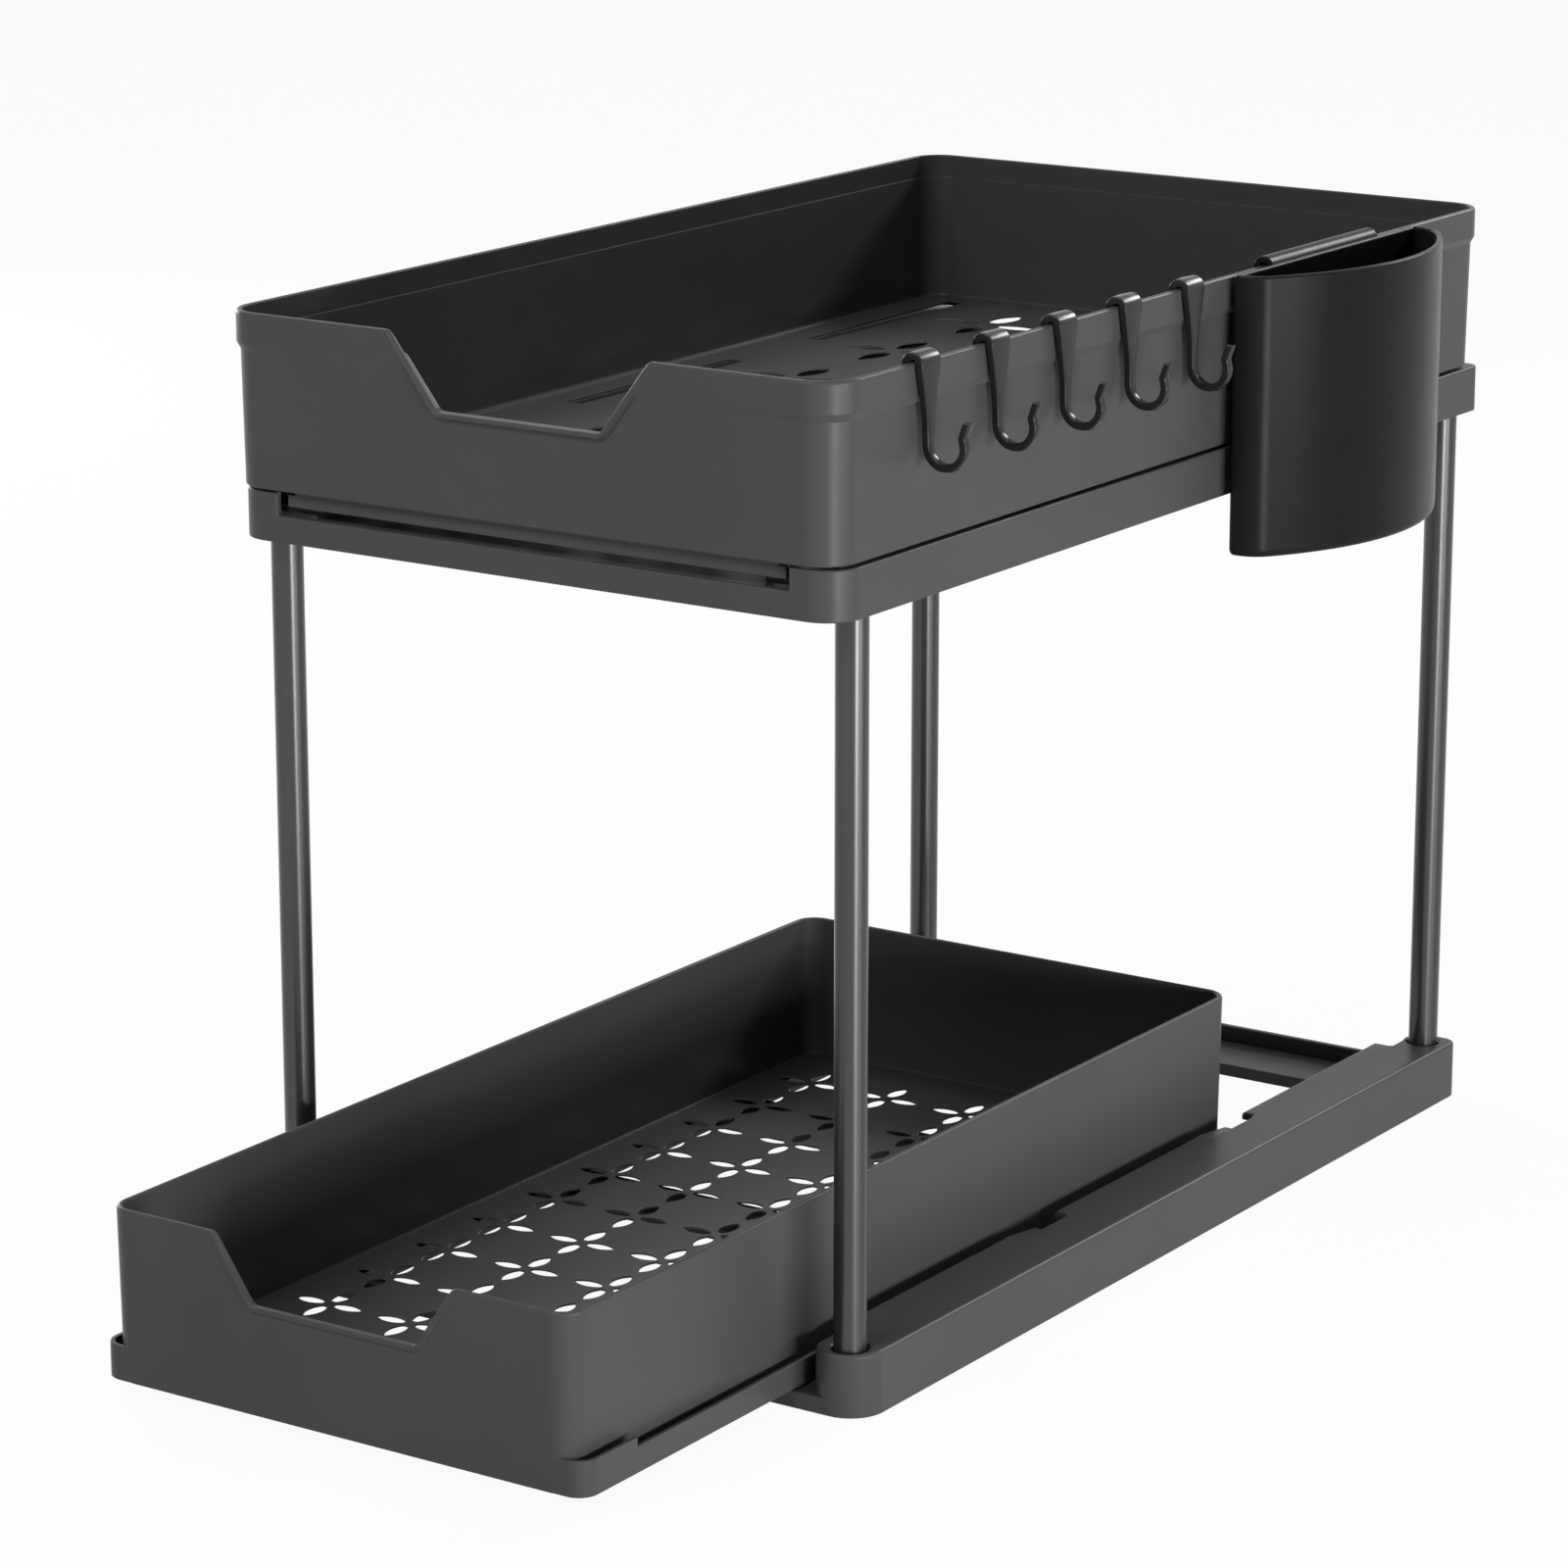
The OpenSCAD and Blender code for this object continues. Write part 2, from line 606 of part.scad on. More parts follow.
module upper_tray() {
    floor_top_z = tray_z + upper_floor_h;
    front_face_y = upper_front_y + frame_wall;
    web_rear_y = front_face_y + upper_runner_front_t + tray_wall;
    margin = 5;
    columns = floor(2 * (side_slot_x - side_slot_w / 2 - margin / 2 - upper_petal_r) / upper_pitch_x) + 1;
    rows = floor((band_rear_y - band_front_y - 2 * (upper_petal_r + tray_wall + margin)) / upper_pitch_y) + 1;
    color(plastic) from_middle() difference() {
        union() {
            // Wall, and the band that is the rim
            translate([0, 0, tray_z]) wall_ring(wall_x, band_front_y + band_out, band_rear_y - band_out,
                upper_tray_front_r - band_out, upper_tray_rear_r - band_out, tray_wall,
                upper_tray_h - band_h + band_lap);
            translate([0, 0, rim_z - band_h]) wall_ring(band_x, band_front_y, band_rear_y,
                upper_tray_front_r, upper_tray_rear_r, rim_t, band_h);
            // Floor with its four-petal cutouts and the slots along its sides
            translate([0, 0, floor_top_z - tray_floor_t]) linear_extrude(tray_floor_t) difference() {
                outline(wall_x - 1, band_front_y + band_out + 1, band_rear_y - band_out - 1,
                    upper_tray_front_r - band_out - 1, upper_tray_rear_r - band_out - 1);
                for (column = [0:columns - 1], row = [0:rows - 1]) {
                    translate([
                        (column - (columns - 1) / 2) * upper_pitch_x,
                        tray_mid_y + (row - (rows - 1) / 2) * upper_pitch_y
                    ]) flower(upper_petal_r);
                }
                for (side = [-1, 1], step = [-1:1]) {
                    translate([side * side_slot_x, tray_mid_y + step * side_slot_pitch])
                        square([side_slot_w, side_slot_l], center = true);
                }
            }
            // Front web of the runners, seen in the frame's slot
            block([-neck_x, front_face_y + upper_runner_front_t, upper_runner_z],
                [neck_x, web_rear_y, floor_top_z - tray_floor_t + eps]);
            block([-runner_face_x, front_face_y, upper_runner_z],
                [runner_face_x, web_rear_y, upper_runner_z + upper_runner_front_h]);
            both_sides() upper_runner();
        }
        translate([0, 0, rim_z]) scoop(upper_scoop_top_w, upper_scoop_bottom_w, upper_scoop_deep,
            band_front_y, rim_t + tray_wall);
    }
}

// A metal tube between a plug in the base frame and a plug in the upper frame
module post(side, end) {
    low_z = base_socket_z + plug_head_h;
    high_z = upper_z + upper_socket_deep - plug_head_h;
    color(metal) from_middle() translate([side * post_x, end * post_y, low_z]) difference() {
        cylinder(d = post_d, h = high_z - low_z);
        translate([0, 0, -1]) cylinder(d = post_d - 2 * post_wall, h = high_z - low_z + 2);
    }
}

// A plug whose head fits a socket and whose shank fits a post, with the head toward -Z
module plug() {
    cylinder(d = socket_d - 2 * plug_gap, h = plug_head_h);
    cylinder(d = post_d - 2 * post_wall - 2 * plug_gap, h = plug_head_h + plug_shank_l);
}

module plug_low(side, end) {
    color(dark_plastic) from_middle() translate([side * post_x, end * post_y, base_socket_z]) plug();
}

module plug_top(side, end) {
    color(dark_plastic) from_middle() translate([side * post_x, end * post_y, upper_z + upper_socket_deep])
        mirror([0, 0, 1]) plug();
}

// Side view of the clip: an arch over the rim and a leg down inside it
module clip_outline() {
    translate([arch_x, arch_z]) difference() {
        circle(r = arch_out_r);
        circle(r = arch_in_r);
        translate([-2 * arch_out_r, -2 * arch_out_r]) square([4 * arch_out_r, 2 * arch_out_r]);
    }
    translate([arch_x - arch_out_r, clip_foot_z]) square([hook_t, arch_z + eps - clip_foot_z]);
}

// Side view of a whole hook: clip, strap, bend and tip
module hook_outline() {
    bend_x = strap_x + bend_r;
    tip_x = strap_x + hook_bend_w - hook_t;
    tip_z = hook_low_z + hook_tip_h;
    kink_z = tip_z - hook_lean_h;
    // The tip draws in a little before it leans outward
    kink_in = 0.4 * hook_lean;
    clip_outline();
    translate([strap_x, bend_z - eps]) square([hook_t, arch_z - bend_z + 2 * eps]);
    translate([bend_x, bend_z]) difference() {
        circle(r = bend_r);
        circle(r = bend_r - hook_t);
        translate([-2 * bend_r, 0]) square([4 * bend_r, 2 * bend_r]);
    }
    polygon([
        [tip_x, bend_z - eps], [tip_x + hook_t, bend_z - eps],
        [tip_x + hook_t - kink_in, kink_z], [tip_x + hook_t - kink_in + hook_lean, tip_z],
        [tip_x - kink_in + hook_lean, tip_z], [tip_x - kink_in, kink_z]
    ]);
}

// Front view of a hook's width, from the wide strap down to the narrow bend
module hook_front() {
    high_z = clip_top_z + 1;
    wide_z = arch_z - 1;
    taper_h = wide_z - bend_z;
    wide = hook_top_w / 2;
    slim = hook_low_w / 2;
    half = [
        [wide, high_z], [wide, wide_z], [wide - 0.15 * (wide - slim), wide_z - 0.1 * taper_h],
        [slim + 0.43 * (wide - slim), wide_z - 0.42 * taper_h],
        [slim + 0.1 * (wide - slim), wide_z - 0.7 * taper_h], [slim, bend_z], [slim, hook_low_z - 1]
    ];
    polygon(concat(half, [for (i = [len(half) - 1:-1:0]) [-half[i][0], half[i][1]]]));
}

// Hooks are counted from the front
module hook(number) {
    y = -last_hook_y - (hook_count - number) * hook_pitch;
    color(plastic) from_middle() translate([0, y, 0]) intersection() {
        translate([0, hook_top_w, 0]) rotate([90, 0, 0]) linear_extrude(2 * hook_top_w) hook_outline();
        translate([arch_x - 2 * arch_out_r, 0, 0]) rotate([90, 0, 90])
            linear_extrude(hook_bend_w + 4 * arch_out_r) hook_front();
    }
}

// The cup's outline from above, set in by t on every side
module cup_plan(t) {
    translate([cup_back_x + t, cup_y - cup_w / 2 + t])
        square([cup_corner_x - cup_back_x - t + eps, cup_w - 2 * t]);
    intersection() {
        translate([cup_corner_x, cup_y - cup_w]) square([cup_d, 2 * cup_w]);
        union() {
            for (side = [-1, 1]) {
                translate([cup_corner_x, cup_y + side * cup_corner_y]) circle(r = cup_corner_r - t);
            }
            // The bowed front, between the two corners
            intersection() {
                translate([cup_bow_x, cup_y]) circle(r = cup_front_r - t, $fn = 180);
                polygon([
                    [cup_bow_x, cup_y],
                    [2 * cup_corner_x - cup_bow_x, cup_y - 2 * cup_corner_y],
                    [2 * cup_corner_x - cup_bow_x, cup_y + 2 * cup_corner_y]
                ]);
            }
        }
    }
}

module cup() {
    color(plastic) from_middle() {
        difference() {
            translate([0, 0, cup_top_z - cup_h]) linear_extrude(cup_h) cup_plan(0);
            translate([0, 0, cup_top_z - cup_h + tray_wall]) linear_extrude(cup_h) cup_plan(tray_wall);
        }
        translate([0, cup_y + cup_clip_w / 2, 0]) rotate([90, 0, 0]) linear_extrude(cup_clip_w)
            clip_outline();
        block([strap_x, cup_y - cup_clip_w / 2, clip_foot_z],
            [strap_x + hook_t, cup_y + cup_clip_w / 2, arch_z + eps]);
    }
}

base_frame();
upper_frame();
lower_tray();
upper_tray();
post(-1, -1);  // post_front_left
post(1, -1);  // post_front_right
post(-1, 1);  // post_rear_left
post(1, 1);  // post_rear_right
plug_low(-1, -1);  // plug_low_front_left
plug_low(1, -1);  // plug_low_front_right
plug_low(-1, 1);  // plug_low_rear_left
plug_low(1, 1);  // plug_low_rear_right
plug_top(-1, -1);  // plug_top_front_left
plug_top(1, -1);  // plug_top_front_right
plug_top(-1, 1);  // plug_top_rear_left
plug_top(1, 1);  // plug_top_rear_right
hook(1);  // hook_1
hook(2);  // hook_2
hook(3);  // hook_3
hook(4);  // hook_4
hook(5);  // hook_5
cup();
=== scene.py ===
"""Two-tier pull-out storage rack: its detailed pieces, materials, light and camera."""
import bpy
import bmesh
import math
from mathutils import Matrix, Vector
from mathutils.geometry import tessellate_polygon


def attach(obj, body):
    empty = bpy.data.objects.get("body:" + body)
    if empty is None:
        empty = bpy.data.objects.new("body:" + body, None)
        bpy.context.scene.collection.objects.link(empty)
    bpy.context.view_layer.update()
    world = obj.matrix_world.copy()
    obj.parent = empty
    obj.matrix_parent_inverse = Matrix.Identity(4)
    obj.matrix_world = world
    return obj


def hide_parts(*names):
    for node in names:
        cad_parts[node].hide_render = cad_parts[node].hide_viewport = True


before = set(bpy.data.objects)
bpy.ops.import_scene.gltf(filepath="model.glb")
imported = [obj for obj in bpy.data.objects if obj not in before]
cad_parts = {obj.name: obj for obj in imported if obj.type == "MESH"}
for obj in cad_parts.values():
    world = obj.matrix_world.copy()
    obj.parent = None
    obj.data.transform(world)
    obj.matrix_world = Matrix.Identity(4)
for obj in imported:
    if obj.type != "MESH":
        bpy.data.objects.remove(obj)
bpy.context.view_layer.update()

# Sizes are in millimetres. x and y start from the middle of the base frame, which lies this far
# behind the frame's origin, and z starts from the floor.
MID = 195.5


# --- Mesh tools ---

class Part:
    """Vertices and faces of one piece, gathered shape by shape."""

    def __init__(self):
        self.verts = []
        self.faces = []

    def add(self, verts, faces):
        """Adds a closed shape; vertices that coincide are joined, faces that vanish are dropped."""
        index = {}
        names = []
        for v in verts:
            key = (round(v[0], 4), round(v[1], 4), round(v[2], 4))
            if key not in index:
                index[key] = len(self.verts)
                self.verts.append(key)
            names.append(index[key])
        for face in faces:
            ring = []
            for i in face:
                if names[i] not in ring:
                    ring.append(names[i])
            if len(ring) > 2:
                self.faces.append(ring)


def rounded(points, closed=True, steps=6):
    """An outline from its corners (x, y, radius), each rounded as far as its sides have room."""
    out = []
    n = len(points)
    sides = [Vector(points[(i + 1) % n][:2]) - Vector(points[i][:2]) for i in range(n)]
    turns = [(-sides[i - 1]).angle(sides[i]) / 2 if closed or 0 < i < n - 1 else 0
             for i in range(n)]
    wanted = [points[i][2] / math.tan(turns[i]) if turns[i] else 0 for i in range(n)]
    for i, (x, y, r) in enumerate(points):
        p = Vector((x, y))
        if r == 0 or not turns[i]:
            out.append(p)
            continue
        a, b, half = -sides[i - 1], sides[i], turns[i]
        before, after = wanted[i - 1] + wanted[i], wanted[i] + wanted[(i + 1) % n]
        reach = wanted[i] * min(1, 0.999 * a.length / before, 0.999 * b.length / after)
        r = reach * math.tan(half)
        c = p + (a.normalized() + b.normalized()).normalized() * (r / math.sin(half))
        s, e = p + a.normalized() * reach - c, p + b.normalized() * reach - c
        start = math.atan2(s.y, s.x)
        turn = (math.atan2(e.y, e.x) - start + math.pi) % (2 * math.pi) - math.pi
        for k in range(steps + 1):
            at = start + turn * k / steps
            out.append(c + r * Vector((math.cos(at), math.sin(at))))
    return out


def box2(x0, y0, x1, y1, r=0.0):
    """The outline of a box, with its corners rounded by r."""
    return rounded([(x0, y0, r), (x1, y0, r), (x1, y1, r), (x0, y1, r)])


def circle(x, y, r, n=48):
    turns = [2 * math.pi * k / n for k in range(n)]
    return [Vector((x + r * math.cos(a), y + r * math.sin(a))) for a in turns]


def petal(x, y, turn, tip):
    """A leaf-shaped hole between two arcs, cut blunt toward the flower's middle."""
    inner, wide = 0.09 * tip, 0.39 * tip
    long = tip - inner
    r = (long * long + wide * wide) / (4 * wide)
    start = 0.17 * tip
    side = []
    for k in range(11):
        u = start + (tip - start) * (0.5 - 0.5 * math.cos(math.pi * k / 10))
        side.append((u, math.sqrt(max(r * r - (u - inner - long / 2) ** 2, 0)) - r + wide / 2))
    loop = side + [(u, -w) for u, w in side[9::-1]]
    c, s = math.cos(turn), math.sin(turn)
    return [Vector((x + u * c - w * s, y + u * s + w * c)) for u, w in loop]


def flowers(xs, ys, tip):
    """Four petals round each crossing of those columns and rows."""
    return [petal(x, y, math.pi / 2 * k, tip) for x in xs for y in ys for k in range(4)]


def offset(loop, d):
    """The loop moved by d to the left of its own direction."""
    out = []
    for i, p in enumerate(loop):
        a, b = p - loop[i - 1], loop[(i + 1) % len(loop)] - p
        m = Vector((-a.y, a.x)).normalized() + Vector((-b.y, b.x)).normalized()
        out.append(p + m * (2 * d / max(m.length_squared, 0.5)))
    return out


def slab(part, loops, low, high, r0=0.4, r1=0.4, axis="z", mids=(), shape=None, steps=3):
    """A flat shape, its first loop outside and the others holes, drawn out along an axis.

    Its edges are rounded by r0 at the low end and by r1 at the high end. mids are (level, inset)
    between them, and shape moves every vertex at the end.
    """
    put = {"z": lambda u, v, w: (u, v, w), "y": lambda u, v, w: (u, w, v),
           "x": lambda u, v, w: (w, u, v)}[axis]
    turned = []
    for i, loop in enumerate(loops):
        area = sum(p.x * loop[k - 1].y - loop[k - 1].x * p.y for k, p in enumerate(loop))
        turned.append(loop[::-1] if (area < 0) == (i > 0) else loop)
    arc = [math.pi / 2 * k / steps for k in range(steps + 1)]
    levels = [(low + r0 * (1 - math.cos(a)), r0 * (1 - math.sin(a)))
              for a in (arc if r0 else arc[-1:])]
    levels += list(mids)
    levels += [(high - r1 * (1 - math.cos(a)), r1 * (1 - math.sin(a)))
               for a in (arc[::-1] if r1 else arc[-1:])]
    verts, faces = [], []
    count = sum(len(loop) for loop in turned)
    for w, d in levels:
        for loop in turned:
            verts += [(u.x, u.y, w) for u in offset(loop, d)]
    for level in range(len(levels) - 1):
        start = level * count
        for loop in turned:
            n = len(loop)
            for k in range(n):
                a, b = start + k, start + (k + 1) % n
                faces.append((a, b, b + count, a + count))
            start += n
    for level in (0, len(levels) - 1):
        rings, at = [], level * count
        for loop in turned:
            rings.append([Vector((v[0], v[1], 0)) for v in verts[at:at + len(loop)]])
            at += len(loop)
        faces += [tuple(level * count + i for i in tri) for tri in tessellate_polygon(rings)]
    verts = [put(*v) for v in verts]
    if shape:
        verts = [shape(*v) for v in verts]
    part.add(verts, faces)


def block(part, low, high, r):
    """A box between two corners, all its edges rounded."""
    outline = box2(low[0], low[1], high[0], high[1], min(r * 1.2, 0.6))
    slab(part, [outline], low[2], high[2], r, r)


def side_block(part, side, low, high, r):
    """A block whose corners are given for the right side (1), mirrored on the left (-1)."""
    x0, x1 = sorted((side * low[0], side * high[0]))
    block(part, (x0, low[1], low[2]), (x1, high[1], high[2]), r)


def inset_at(stations, z):
    """The inset at height z, from stations (z, inset) that go up."""
    if z <= stations[0][0]:
        return stations[0][1]
    for (z0, d0), (z1, d1) in zip(stations, stations[1:]):
        if z <= z1:
            return d0 + (d1 - d0) * (z - z0) / max(z1 - z0, 1e-9)
    return stations[-1][1]


def rim_columns(line, y, side):
    """Columns along a straight front (side -1) or rear (side 1) wall.

    Its rim follows line, (x, z) from left to right as seen from outside.
    """
    out = []
    for i, (u, z) in enumerate(line):
        a, b = line[max(i - 1, 0)], line[min(i + 1, len(line) - 1)]
        t = Vector((b[0] - a[0], b[1] - a[1])).normalized()
        out.append((-side * u, y, 0, side, z, side * t.y, t.x))
    return out


def bend(x, y, r, start, turn, steps):
    """Points (x, y) and outward normals (x, y) round part of a circle."""
    turns = [start + turn * k / steps for k in range(steps + 1)]
    return [(x + r * math.cos(a), y + r * math.sin(a), math.cos(a), math.sin(a)) for a in turns]


def arc_columns(x, y, r, start, top):
    """Columns round a quarter turn of a wall with a level rim."""
    return [(*point, top, 0, 1) for point in bend(x, y, r, start, math.pi / 2, 12)]


def oblong(hw, y0, y1, rf, rr, top, front=None, rear=None, open_rear=False):
    """Columns of an oblong wall, anticlockwise; rf and rr round its front and rear corners.

    A column is (x, y, normal x, normal y, rim height, x and z of the direction out of the rim).
    """
    level = [(rf - hw, top), (hw - rf, top)]
    right = arc_columns(hw - rf, y0 + rf, rf, -math.pi / 2, top)
    left = arc_columns(rf - hw, y0 + rf, rf, math.pi, top)
    face = rim_columns(front or level, y0, -1)
    if open_rear:
        return [(-hw, y1, -1, 0, top, 0, 1)] + left + face + right + [(hw, y1, 1, 0, top, 0, 1)]
    back = rim_columns(rear or [(rr - hw, top), (hw - rr, top)], y1, 1)
    return (face + right + arc_columns(hw - rr, y1 - rr, rr, 0, top) + back
            + arc_columns(rr - hw, y1 - rr, rr, math.pi / 2, top) + left)


def wall(part, columns, outer, inner, ro=0.8, ri=0.8, lip=None, lip_h=0.0, closed=True):
    """A wall on those columns; outer and inner are its faces, (z, inset) going up.

    The rim is rounded by ro outside and ri inside. lip is the inset of a lip, lip_h high, that
    follows the rim where it dips.
    """
    top = max(c[4] for c in columns)
    deep = max(ro, ri, lip_h)
    arc = [math.pi / 2 * k / 4 for k in range(5)]

    def face(stations, column, foot):
        """One face's points on a column, none of them above the foot of the rim."""
        x, y, nx, ny, rim, bx, bz = column
        points = []
        for z, d in stations:
            if z > foot:
                z, d = foot, inset_at(stations, foot)
            points.append((x - nx * d - bx * deep, y - ny * d, z))
        return points

    rows = []
    for column in columns:
        x, y, nx, ny, rim, bx, bz = column
        foot = rim - bz * deep
        d0, d1 = inset_at(outer, foot), inset_at(inner, foot)
        if lip is None:
            out, edge = d0, [(d0, -deep)]
        else:
            out = d0 + (lip - d0) * min(max((top - rim) / 3, 0), 1)
            edge = [(d0, -deep), (d0 - (d0 - out) * 0.5, -deep + 0.15), (out, -deep + 0.6)]
        edge += [(out + ro * (1 - math.cos(a)), -ro * (1 - math.sin(a))) for a in arc]
        edge += [(d1 - ri * (1 - math.sin(a)), -ri * (1 - math.cos(a))) for a in arc]
        edge.append((d1, -deep))
        over = [(x - nx * d + bx * up, y - ny * d, rim + bz * up) for d, up in edge]
        rows.append(face(outer, column, foot) + over + face(inner, column, foot)[::-1])
    n = len(rows[0])
    faces = []
    for i in range(len(rows) if closed else len(rows) - 1):
        a, b = i * n, (i + 1) % len(rows) * n
        for k in range(n):
            m = (k + 1) % n
            faces.append((a + k, b + k, b + m, a + m))
    if not closed:
        faces += [tuple(range(n)), tuple((len(rows) - 1) * n + k for k in range(n))]
    part.add([v for row in rows for v in row], faces)


def make(name, part, material, body, replaced):
    """Turns the gathered shapes into a piece that rides on its body and stands for its nodes."""
    mesh = bpy.data.meshes.new(name)
    verts = [(x / 1000, (y + MID) / 1000, z / 1000) for x, y, z in part.verts]
    mesh.from_pydata(verts, [], part.faces)
    bm = bmesh.new()
    bm.from_mesh(mesh)
    bmesh.ops.recalc_face_normals(bm, faces=bm.faces)
    bm.to_mesh(mesh)
    bm.free()
    mesh.shade_smooth()
    mesh.set_sharp_from_angle(angle=math.radians(38))
    obj = bpy.data.objects.new(name, mesh)
    bpy.context.scene.collection.objects.link(obj)
    mesh.materials.append(material)
    weigh = obj.modifiers.new("even_faces", "WEIGHTED_NORMAL")
    weigh.keep_sharp = True
    weigh.weight = 80
    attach(obj, body)
    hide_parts(*replaced)


# --- Materials ---

# How far noise takes a surface's roughness up and down
GLOSS_SPREAD = 0.02


def shader(name, base, rough, metallic=0.0, specular=0.5):
    """A material, its shader, its texture coordinates, and a maker of further nodes in it."""
    mat = bpy.data.materials.new(name)
    mat.use_nodes = True
    nodes, links = mat.node_tree.nodes, mat.node_tree.links
    bsdf = nodes["Principled BSDF"]
    bsdf.inputs["Base Color"].default_value = (*base, 1)
    bsdf.inputs["Roughness"].default_value = rough
    bsdf.inputs["Metallic"].default_value = metallic
    bsdf.inputs["Specular IOR Level"].default_value = specular
    coord = nodes.new("ShaderNodeTexCoord")

    def node(kind, **values):
        """A node with those inputs; an underscore stands for a space in their names."""
        n = nodes.new(kind)
        for key, value in values.items():
            n.inputs[key.replace("_", " ")].default_value = value
        return n
    return mat, bsdf, coord, node, links


def plastic(name, base, rough=0.36, grain=0.000015, specular=0.14):
    """Moulded plastic: fine grain, faint flow clouds in its colour, handling marks in its gloss."""
    mat, bsdf, coord, node, links = shader(name, base, rough, specular=specular)
    cloud = node("ShaderNodeTexNoise", Scale=14.0, Detail=4.0, Roughness=0.55)
    links.new(coord.outputs["Object"], cloud.inputs["Vector"])
    tint = node("ShaderNodeMapRange", From_Min=0.3, From_Max=0.7, To_Min=0.94, To_Max=1.06)
    links.new(cloud.outputs["Fac"], tint.inputs["Value"])
    mixed = node("ShaderNodeVectorMath")
    mixed.operation = "SCALE"
    mixed.inputs[0].default_value = base
    links.new(tint.outputs["Result"], mixed.inputs["Scale"])
    links.new(mixed.outputs["Vector"], bsdf.inputs["Base Color"])
    marks = node("ShaderNodeTexNoise", Scale=60.0, Detail=5.0, Roughness=0.6)
    links.new(coord.outputs["Object"], marks.inputs["Vector"])
    gloss = node("ShaderNodeMapRange", From_Min=0.3, From_Max=0.7,
                 To_Min=rough - GLOSS_SPREAD, To_Max=rough + GLOSS_SPREAD)
    links.new(marks.outputs["Fac"], gloss.inputs["Value"])
    links.new(gloss.outputs["Result"], bsdf.inputs["Roughness"])
    fine = node("ShaderNodeTexNoise", Scale=2600.0, Detail=2.0, Roughness=0.6)
    links.new(coord.outputs["Object"], fine.inputs["Vector"])
    bump = node("ShaderNodeBump", Strength=0.35, Distance=grain)
    links.new(fine.outputs["Fac"], bump.inputs["Height"])
    links.new(bump.outputs["Normal"], bsdf.inputs["Normal"])
    return mat


def tube_metal(name, base, rough):
    """Coated steel tube: fine drawing lines along its length and a soft gloss."""
    mat, bsdf, coord, node, links = shader(name, base, rough, metallic=0.85)
    # Polished round its axis, so that highlights draw out along the tube
    bsdf.inputs["Anisotropic"].default_value = 0.6
    bsdf.inputs["Anisotropic Rotation"].default_value = 0.25
    turned = node("ShaderNodeTangent")
    turned.direction_type, turned.axis = "RADIAL", "Z"
    links.new(turned.outputs["Tangent"], bsdf.inputs["Tangent"])
    stretch = node("ShaderNodeMapping")
    stretch.inputs["Scale"].default_value = (1, 1, 0.01)
    links.new(coord.outputs["Object"], stretch.inputs["Vector"])
    drawn = node("ShaderNodeTexNoise", Scale=3000.0, Detail=3.0, Roughness=0.6)
    links.new(stretch.outputs["Vector"], drawn.inputs["Vector"])
    gloss = node("ShaderNodeMapRange", From_Min=0.3, From_Max=0.7,
                 To_Min=rough - GLOSS_SPREAD, To_Max=rough + GLOSS_SPREAD)
    links.new(drawn.outputs["Fac"], gloss.inputs["Value"])
    links.new(gloss.outputs["Result"], bsdf.inputs["Roughness"])
    bump = node("ShaderNodeBump", Strength=0.15, Distance=0.000004)
    links.new(drawn.outputs["Fac"], bump.inputs["Height"])
    links.new(bump.outputs["Normal"], bsdf.inputs["Normal"])
    return mat


GREY = (0.054, 0.054, 0.054)
frame_mat = plastic("frame_plastic", GREY)
tray_mat = plastic("tray_plastic", GREY)
cup_mat = plastic("cup_plastic", (0.01, 0.01, 0.01), rough=0.3, specular=0.06)
hook_mat = plastic("hook_plastic", (0.014, 0.014, 0.014), rough=0.24, grain=0.00001, specular=0.22)
plug_mat = plastic("plug_plastic", (0.02, 0.02, 0.02), rough=0.5)
post_mat = tube_metal("post_metal", (0.07, 0.07, 0.071), 0.29)

# --- Base frame ---

# Half its width and depth, and its height
BX, BY, BH = 119.0, 201.0, 21.0
# The inner sides of its front and rear bosses, and their length
BOSS_IN, BOSS_REAR_IN, BOSS_L = 97.7, 102.0, 20.0
# The inner sides of the rails' top plates and of the ledges below them, and the wall thickness
PLATE_IN, LEDGE_IN, WALL = 95.0, 85.0, 2.5
POST_X, POST_Y, SOCKET_R = 109.0, 192.5, 5.75
# The notches in the top plates start at these y, each behind a ramp
NOTCHES, NOTCH_L, NOTCH_D, RAMP_L = (-59.5, 69.0), 12.0, 5.3, 18.5
# The flat bars that cross the base start at these y; a rib runs under each edge
BARS, BAR_D, BAR_TOP, BAR_HALF, RIB = (-85, 15.5, 172.5), 26, 4.5, 86, 2.5


def mirrored(loop, side):
    return [Vector((p.x * side, p.y)) for p in loop]


